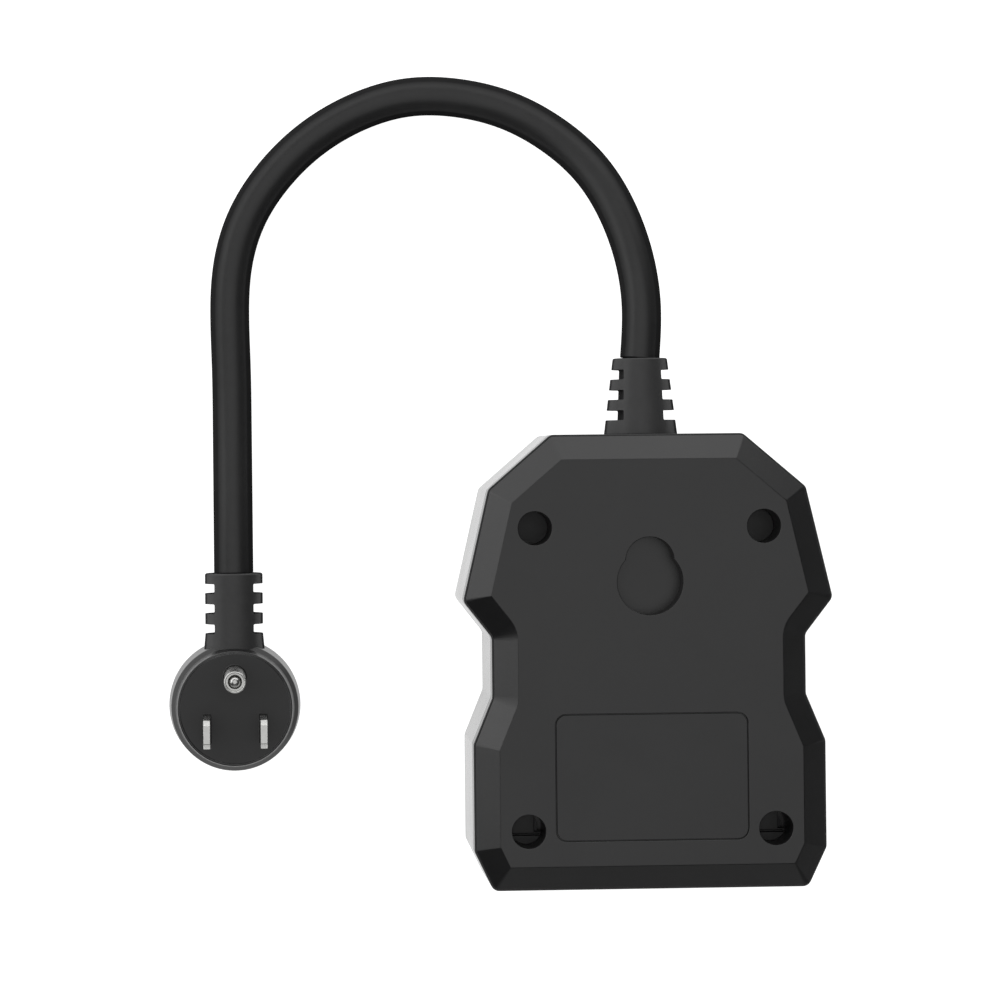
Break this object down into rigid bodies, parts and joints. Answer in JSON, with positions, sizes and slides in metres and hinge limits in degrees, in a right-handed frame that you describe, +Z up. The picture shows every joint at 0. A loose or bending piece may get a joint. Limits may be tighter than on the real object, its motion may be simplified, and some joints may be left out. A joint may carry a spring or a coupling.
{
  "type": "smart plug",
  "caption": "Black weatherproof smart plug with lidded outlets, a power button, a wall-hanging recess and a short heavy cord with a right-angle grounded plug.",
  "frame": {"origin": "centre of the housing's front face, which lies on the surface", "axes": "+Z up out of the rear cover, +Y along the housing towards the cord, +X to the right seen from the rear"},
  "size_m": [0.1489, 0.1849, 0.0404],
  "materials": {
    "shell_plastic": "fine satin texture",
    "cover_plastic": "fine matt texture",
    "label_plastic": "smooth matt",
    "lid_plastic": "satin",
    "face_plastic": "satin",
    "carrier_plastic": "matt",
    "button_plastic": "satin",
    "ring_plastic": "translucent gloss",
    "part_plastic": "matt",
    "relay_plastic": "gloss",
    "coil_tape": "gloss",
    "varistor_coat": "gloss",
    "board_laminate": "gloss solder mask",
    "led_resin": "gloss",
    "black_rubber": "matt",
    "grey_rubber": "matt",
    "cord_jacket": "satin",
    "plug_vinyl": "satin",
    "lead_black": "gloss",
    "lead_white": "gloss",
    "lead_green": "gloss",
    "screw_steel": "zinc plated",
    "spring_steel": "bright drawn",
    "module_can": "pressed",
    "clamp_steel": "pressed",
    "contact_brass": "stamped",
    "plated_brass": "nickel plated"
  },
  "bodies": {
    "housing": {"front_shell": "shell_plastic", "rear_cover": "cover_plastic", "housing_gasket": "grey_rubber", "rating_label": "label_plastic", "case_screws": "screw_steel", "screw_caps": "black_rubber", "outlet_face_left": "face_plastic", "outlet_face_right": "face_plastic", "contact_carrier_left": "carrier_plastic", "contact_carrier_right": "carrier_plastic", "line_contact_left": "contact_brass", "line_contact_right": "contact_brass", "neutral_bus": "contact_brass", "ground_bus": "contact_brass", "lid_pin_left": "spring_steel", "lid_pin_right": "spring_steel", "light_ring": "ring_plastic", "tact_switch": "part_plastic", "control_board": "board_laminate", "relay_left": "relay_plastic", "relay_right": "relay_plastic", "power_transformer": "coil_tape", "filter_capacitor": "part_plastic", "surge_varistor": "varistor_coat", "radio_module": "module_can", "status_leds": "led_resin", "inner_cord": "cord_jacket", "cord_clamp": "clamp_steel", "clamp_screws": "screw_steel", "line_lead": "lead_black", "neutral_lead": "lead_white", "ground_lead": "lead_green", "outlet_lead_left": "lead_black", "outlet_lead_right": "lead_black", "cord_gland": "black_rubber", "cord": "cord_jacket", "plug_strain_relief": "plug_vinyl", "plug_body": "plug_vinyl", "plug_face": "face_plastic", "line_blade": "plated_brass", "neutral_blade": "plated_brass", "ground_pin": "plated_brass"},
    "lid_left": {"lid_left": "lid_plastic", "lid_seal_left": "grey_rubber", "lid_spring_left": "spring_steel"},
    "lid_right": {"lid_right": "lid_plastic", "lid_seal_right": "grey_rubber", "lid_spring_right": "spring_steel"},
    "button": {"power_button": "button_plastic", "switch_plunger": "part_plastic"}
  },
  "joints": [
    {"name": "lid_left_hinge", "type": "hinge", "parent": "housing", "child": "lid_left", "pos_m": [-0.0163, -0.0046, 0.0026], "axis": [1, 0, 0], "range_deg": [0, 105], "stiffness_Nm_per_rad": 0.01, "springref_deg": -17.19},
    {"name": "lid_right_hinge", "type": "hinge", "parent": "housing", "child": "lid_right", "pos_m": [0.0163, -0.0046, 0.0026], "axis": [1, 0, 0], "range_deg": [0, 105], "stiffness_Nm_per_rad": 0.01, "springref_deg": -17.19},
    {"name": "button_press", "type": "slide", "parent": "housing", "child": "button", "axis": [0, 0, 1], "range_m": [0, 0.0008], "stiffness_N_per_m": 600, "springref_m": -0.0005}
  ]
}
